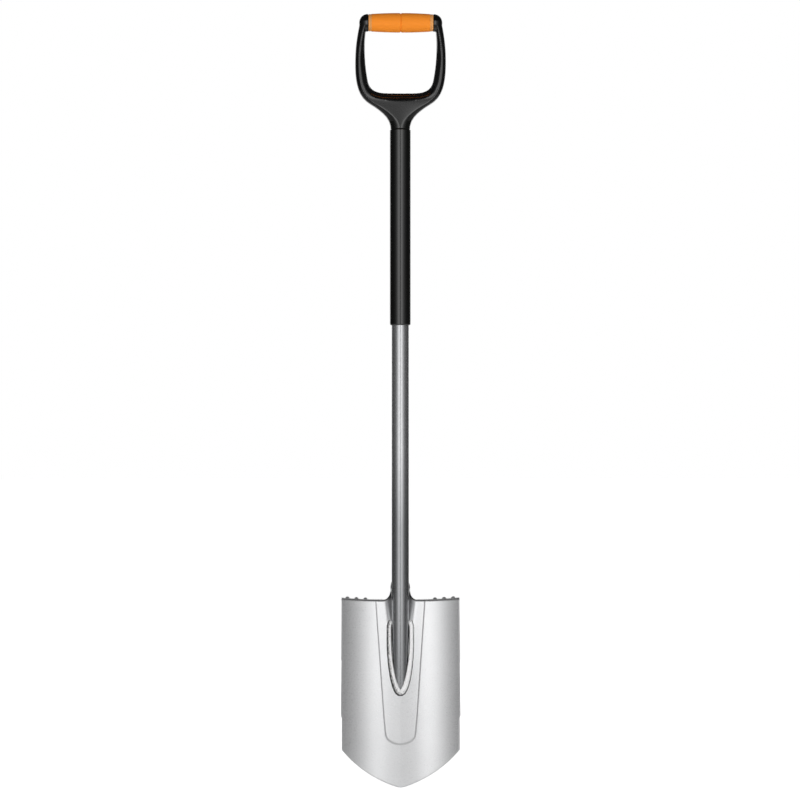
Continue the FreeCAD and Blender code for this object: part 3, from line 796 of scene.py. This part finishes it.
half_path = [bead_centre(step / PATH_PARTS) for step in range(2 * PATH_PARTS + 1)]
whole_path = [(-x, z) for x, z in reversed(half_path[1:])] + half_path
travel = [0.0]
for (x0, z0), (x1, z1) in zip(whole_path, whole_path[1:]):
    travel.append(travel[-1] + math.hypot(x1 - x0, z1 - z0))
count = round(travel[-1] / BEAD_STEP)
stations = []
place = 0
for step in range(count + 1):
    goal = travel[-1] * step / count
    while place < len(travel) - 2 and travel[place + 1] < goal:
        place += 1
    share = (goal - travel[place]) / (travel[place + 1] - travel[place])
    x = mix(whole_path[place][0], whole_path[place + 1][0], share)
    z = mix(whole_path[place][1], whole_path[place + 1][1], share)
    stations.append((x, z))
wander = [chance.uniform(-1, 1) for step in range(count // WAVER_STEPS + 3)]
verts = []
toes = []
for step, (x, z) in enumerate(stations):
    before = stations[max(step - 1, 0)]
    after = stations[min(step + 1, count)]
    run = math.hypot(after[0] - before[0], after[1] - before[1])
    side = ((after[1] - before[1]) / run, -(after[0] - before[0]) / run)
    gone = travel[-1] * step / count
    to_end = min(gone, travel[-1] - gone)
    end = math.sqrt(1 - (1 - clamped(to_end / BEAD_RADIUS)) ** 2)
    knot, past_knot = divmod(step, WAVER_STEPS)
    waver = mix(wander[knot], wander[knot + 1], past_knot / WAVER_STEPS)
    at_foot = clamped(1 - (z - BEAD_FOOT) / BEAD_ARCH) ** 2
    wide = mix(BEAD_RADIUS, BEAD_FOOT_RADIUS, at_foot) / BEAD_RADIUS
    depth = face_depth(x, z) + channel_drop(x, z) + BEAD_RADIUS * BEAD_BACK - BEAD_PROUD
    for turn in range(BEAD_SIDES):
        angle = 2 * math.pi * turn / BEAD_SIDES
        outward = math.sin(angle)
        ahead = math.cos(angle)
        phase = gone / RIPPLE + RIPPLE_BOW * ahead
        swell = 1 - abs(math.sin(math.pi * phase)) ** 3 * 2 * RIPPLE_DEPTH
        size = BEAD_RADIUS * swell * (1 + BEAD_WAVER * waver) * max(end, BEAD_TIP)
        across = size * wide * math.copysign(abs(outward) ** BEAD_SQUARE, outward)
        forward = size * (BEAD_FRONT if ahead > 0 else BEAD_BACK) * ahead
        verts.append(from_tip(x + side[0] * across, depth - forward, z + side[1] * across))
        toe_share = clamped((abs(outward) - TOE_START) / (1 - TOE_START))
        spatter_share = SPATTER_SIDE * clamped(outward * 3 + 0.6)
        spatter_share *= clamped((SPATTER_MIDDLE - x) / SPATTER_RUN)
        toes.append(toe_share + spatter_share)
faces = []
for step in range(count):
    for turn in range(BEAD_SIDES):
        a = step * BEAD_SIDES + turn
        b = step * BEAD_SIDES + (turn + 1) % BEAD_SIDES
        faces.append((a, b, b + BEAD_SIDES, a + BEAD_SIDES))
faces.append(tuple(range(BEAD_SIDES)))
faces.append(tuple(count * BEAD_SIDES + turn for turn in reversed(range(BEAD_SIDES))))

# Rippled weld metal: white and rough on its crown, darker along the toes where it
# meets the sheet, with specks of spatter 2.4 mm apart, more of them on one leg.
BEAD_PALE = "#ffffff"
BEAD_TOE_DARK = "#2c2a29"
SPATTER = 2.381
bead_steel = new_finish("weld_bead_rippled")
where = add(bead_steel, "ShaderNodeTexCoord")
toe = add(bead_steel, "ShaderNodeAttribute", {"attribute_name": "toe"})
spatter = add(
    bead_steel, "ShaderNodeTexNoise",
    {"Scale": 1 / (SPATTER * MM), "Detail": 3.0, "Roughness": 0.7},
    {"Vector": where.outputs["Object"]},
)
ragged_toe = add(
    bead_steel, "ShaderNodeMath", {"operation": "MULTIPLY_ADD", 1: 0.9},
    {0: spatter.outputs["Fac"], 2: toe.outputs["Fac"]},
)
# The toes are painted dark, with a ragged edge from the spatter specks.
toe_darkening = add(
    bead_steel, "ShaderNodeMapRange", {"From Min": 0.54, "From Max": 0.84},
    {"Value": ragged_toe.outputs[0]},
)
bead_tone = add(
    bead_steel, "ShaderNodeMix",
    {"data_type": "RGBA", 6: linear(BEAD_PALE), 7: linear(BEAD_TOE_DARK)},
    {0: toe_darkening.outputs[0]},
)
bead_bump = add(
    bead_steel, "ShaderNodeBump", {"Strength": 0.6, "Distance": 0.2 * MM},
    {"Height": spatter.outputs["Fac"]},
)
bead_shader = add(
    bead_steel, "ShaderNodeBsdfPrincipled", {"Metallic": 0.45, "Roughness": 0.42},
    {"Base Color": bead_tone.outputs[2], "Normal": bead_bump.outputs["Normal"]},
)
add(bead_steel, "ShaderNodeOutputMaterial", None, {"Surface": bead_shader.outputs["BSDF"]})
bead = new_piece("rippled_bead", verts, faces, bead_steel)
mark(bead, "toe", toes)
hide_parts("front_weld")
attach(bead, "root")

# Handle: a yoke, two arms and the core of the crossbar, injection moulded in one piece of
# glass-filled nylon, with a spigot that is driven into the tube.
# Moulded nylon: deep black with a glossy skin, and lines of light softened by its grain.
# The real grain is too fine to show and is drawn at 1.11 mm.
NYLON_BLACK = "#060606"
NYLON_GRAIN = 1.111
black_nylon = new_finish("black_moulded_nylon")
where = add(black_nylon, "ShaderNodeTexCoord")
grain = add(
    black_nylon, "ShaderNodeTexNoise", {"Scale": 1 / (NYLON_GRAIN * MM), "Detail": 2.0},
    {"Vector": where.outputs["Object"]},
)
grain_gloss = add(
    black_nylon, "ShaderNodeMapRange", {"To Min": 0.14, "To Max": 0.2},
    {"Value": grain.outputs["Fac"]},
)
grain_bump = add(
    black_nylon, "ShaderNodeBump", {"Strength": 0.12, "Distance": 0.03 * MM},
    {"Height": grain.outputs["Fac"]},
)
nylon_shader = add(
    black_nylon, "ShaderNodeBsdfPrincipled",
    {
        "Base Color": linear(NYLON_BLACK),
        "Specular IOR Level": 0.8,
        "Coat Weight": 0.7,
        "Coat Roughness": 0.16,
    },
    {"Roughness": grain_gloss.outputs[0], "Normal": grain_bump.outputs["Normal"]},
)
add(black_nylon, "ShaderNodeOutputMaterial", None, {"Surface": nylon_shader.outputs["BSDF"]})

# The moulding takes the solid's shape with its corners rounded off. Heights are counted
# from the underside of the grip.
MOULD_GRAIN = 0.8
SMOOTH_PASSES = 14
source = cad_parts["handle_body"]
moulding = bpy.data.objects.new("handle_moulding", source.data.copy())
scene.collection.objects.link(moulding)
moulding.matrix_world = source.matrix_world
coarse = moulding.modifiers.new("skin", "REMESH")
coarse.mode = "VOXEL"
coarse.voxel_size = MOULD_GRAIN * MM
coarse.use_smooth_shade = True
softer = moulding.modifiers.new("softened", "SMOOTH")
softer.iterations = SMOOTH_PASSES
bpy.context.view_layer.update()
rounded_off = moulding.evaluated_get(bpy.context.evaluated_depsgraph_get())
skin = bpy.data.meshes.new_from_object(rounded_off)
moulding.modifiers.clear()
moulding.data = skin
skin.materials.clear()
skin.materials.append(black_nylon)

# The yoke's faces are crowned, the lip under the hand's opening is rolled back, and the
# walls of the opening stand a little inward, most of all along its lower edge.
CROWN = 0.7
YOKE_LOW = -170.0
YOKE_HIGH = -104.0
LEVEL_STEP = 2.0
ROLL = 6.0
ROLL_RUN = 16.0
ROLL_LOW = -110.0
ROLL_SAG = 3.0
ROLL_SAG_HALF = 32.0
ROLL_HALF = 56.0
ROLL_TOP = -72.0
OPENING_MIDDLE = -50.0
OPENING_TOP = 8.0
WALL_TOP = 6.0
WALL_LOW = -115.0
WALL_IN = 1.2
SILL_IN = 3.8
SILL_TOP = -78.0
SILL_HALF = 52.0
widest = {}
for vert in skin.vertices:
    level = round(vert.co.z / MM / LEVEL_STEP)
    widest[level] = max(widest.get(level, 0), abs(vert.co.x / MM))
crowns = []
for vert in skin.vertices:
    x = vert.co.x / MM
    z = vert.co.z / MM
    share = clamped(1 - (x / widest[round(z / LEVEL_STEP)]) ** 2)
    share *= eased((z - YOKE_LOW) / 25) * eased((YOKE_HIGH - z) / 12)
    crowns.append(vert.normal.y * abs(vert.normal.y) * CROWN * share * MM)
facing = [vert.normal.copy() for vert in skin.vertices]
for vert, normal, crown in zip(skin.vertices, facing, crowns):
    x = vert.co.x / MM
    z = vert.co.z / MM
    roll_start = ROLL_LOW + ROLL_SAG * (x / ROLL_SAG_HALF) ** 2
    roll = clamped((z - roll_start) / ROLL_RUN) ** 2
    roll *= eased((ROLL_HALF - abs(x)) / 16) * eased((ROLL_TOP - z) / 14)
    vert.co.y += crown
    vert.co.y += ROLL * roll * clamped(-normal.y * 1.5 + 0.3) * MM
    toward = Vector((-x, 0, OPENING_MIDDLE - z)).normalized()
    inward = clamped(normal.dot(toward) * 1.2)
    inside = eased((OPENING_TOP - z) / 14) * (1 if WALL_LOW < z < WALL_TOP else 0)
    sill = eased((SILL_TOP - z) / 18) * clamped(1 - (x / SILL_HALF) ** 2)
    vert.co += toward * inward * inside * mix(WALL_IN, SILL_IN, sill) * MM
skin.polygons.foreach_set("use_smooth", [True] * len(skin.polygons))
skin.update()
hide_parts("handle_body")
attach(moulding, "root")

# Cross pin: a length of drawn steel rod pressed through the tube and the handle's spigot,
# so that the handle can't turn or pull out. The sleeve covers it.
# Drawn steel: bright and even, with faint marks of the die, drawn at 1.43 mm.
DIE_MARK = 1.43
pin_steel = new_finish("pin_drawn_steel")
where = add(pin_steel, "ShaderNodeTexCoord")
die_marks = add(
    pin_steel, "ShaderNodeTexNoise", {"Scale": 1 / (DIE_MARK * MM), "Detail": 2.0},
    {"Vector": where.outputs["Object"]},
)
pin_bump = add(
    pin_steel, "ShaderNodeBump", {"Strength": 0.1, "Distance": 0.03 * MM},
    {"Height": die_marks.outputs["Fac"]},
)
pin_shader = add(
    pin_steel, "ShaderNodeBsdfPrincipled",
    {"Metallic": 1.0, "Roughness": 0.3, "Base Color": linear("#c4c5c7")},
    {"Normal": pin_bump.outputs["Normal"]},
)
add(pin_steel, "ShaderNodeOutputMaterial", None, {"Surface": pin_shader.outputs["BSDF"]})
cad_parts["handle_pin"].data.materials[0] = pin_steel

# Sleeve: a plain tube of the same black nylon, slid over the upper part of the shaft so
# that the hand meets a warm surface. The handle's neck closes its upper end.
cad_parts["shaft_sleeve"].data.materials[0] = black_nylon

# Grips: two barrels of soft rubber-like polymer, moulded over the crossbar from each side
# and meeting at a groove in the middle. Next to each arm the end band is painted a paler
# orange, a painted highlight where its rounded end catches the light.
GRIP_PROFILE = (
    (0.0, 13.9), (0.5, 14.25), (1.3, 14.9), (2.2, 15.0), (12, 14.95), (24, 14.65), (36, 14.1),
    (44.9, 13.58), (45.4, 13.5), (45.5, 13.14), (49.4, 13.1), (50.0, 12.6),
)
GRIP_END = 50.0
GRIP_BORE = 8.05
GRIP_HEIGHT = 15.0
GRIP_SIDES = 96
BAND_START = 45.3
# Soft polymer: a strong matt orange that hardly shines, with a skin a little rough to the
# touch. Its texture is drawn at 0.83 mm, coarser than the real one.
GRIP_ORANGE = "#ff942a"
SHEEN_ORANGE = "#f2ab66"
GRIP_TEXTURE = 0.8333
orange_rubber = new_finish("orange_soft_grip")
where = add(orange_rubber, "ShaderNodeTexCoord")
matt = add(
    orange_rubber, "ShaderNodeTexNoise", {"Scale": 1 / (GRIP_TEXTURE * MM), "Detail": 2.0},
    {"Vector": where.outputs["Object"]},
)
matt_bump = add(
    orange_rubber, "ShaderNodeBump", {"Strength": 0.1, "Distance": 0.03 * MM},
    {"Height": matt.outputs["Fac"]},
)
# Painted highlight: the end band next to each arm is painted a paler orange.
painted_sheen = add(orange_rubber, "ShaderNodeAttribute", {"attribute_name": "painted_sheen"})
grip_tone = add(
    orange_rubber, "ShaderNodeMix",
    {"data_type": "RGBA", 6: linear(GRIP_ORANGE), 7: linear(SHEEN_ORANGE)},
    {0: painted_sheen.outputs["Fac"]},
)
orange_shader = add(
    orange_rubber, "ShaderNodeBsdfPrincipled", {"Roughness": 0.5, "Specular IOR Level": 0.15},
    {"Base Color": grip_tone.outputs[2], "Normal": matt_bump.outputs["Normal"]},
)
add(orange_rubber, "ShaderNodeOutputMaterial", None, {"Surface": orange_shader.outputs["BSDF"]})
outline = [(0.0, GRIP_BORE)] + list(GRIP_PROFILE) + [(GRIP_END, GRIP_BORE)]
last_row = len(outline) - 1
for side, name in ((1, "grip_right"), (-1, "grip_left")):
    verts = []
    sheen_marks = []
    for along, radius in outline:
        for turn in range(GRIP_SIDES):
            angle = 2 * math.pi * turn / GRIP_SIDES
            verts.append((
                side * along * MM,
                radius * math.sin(angle) * MM,
                (GRIP_HEIGHT + radius * math.cos(angle)) * MM,
            ))
            sheen_marks.append(1.0 if along > BAND_START else 0.0)
    faces = []
    for row in range(len(outline)):
        up = GRIP_SIDES if row < last_row else -GRIP_SIDES * last_row
        for turn in range(GRIP_SIDES):
            a = row * GRIP_SIDES + turn
            b = row * GRIP_SIDES + (turn + 1) % GRIP_SIDES
            quad = (a, b, b + up, a + up)
            faces.append(quad if side > 0 else tuple(reversed(quad)))
    barrel = new_piece("barrel_" + name, verts, faces, orange_rubber)
    mark(barrel, "painted_sheen", sheen_marks)
    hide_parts(name)
    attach(barrel, "root")
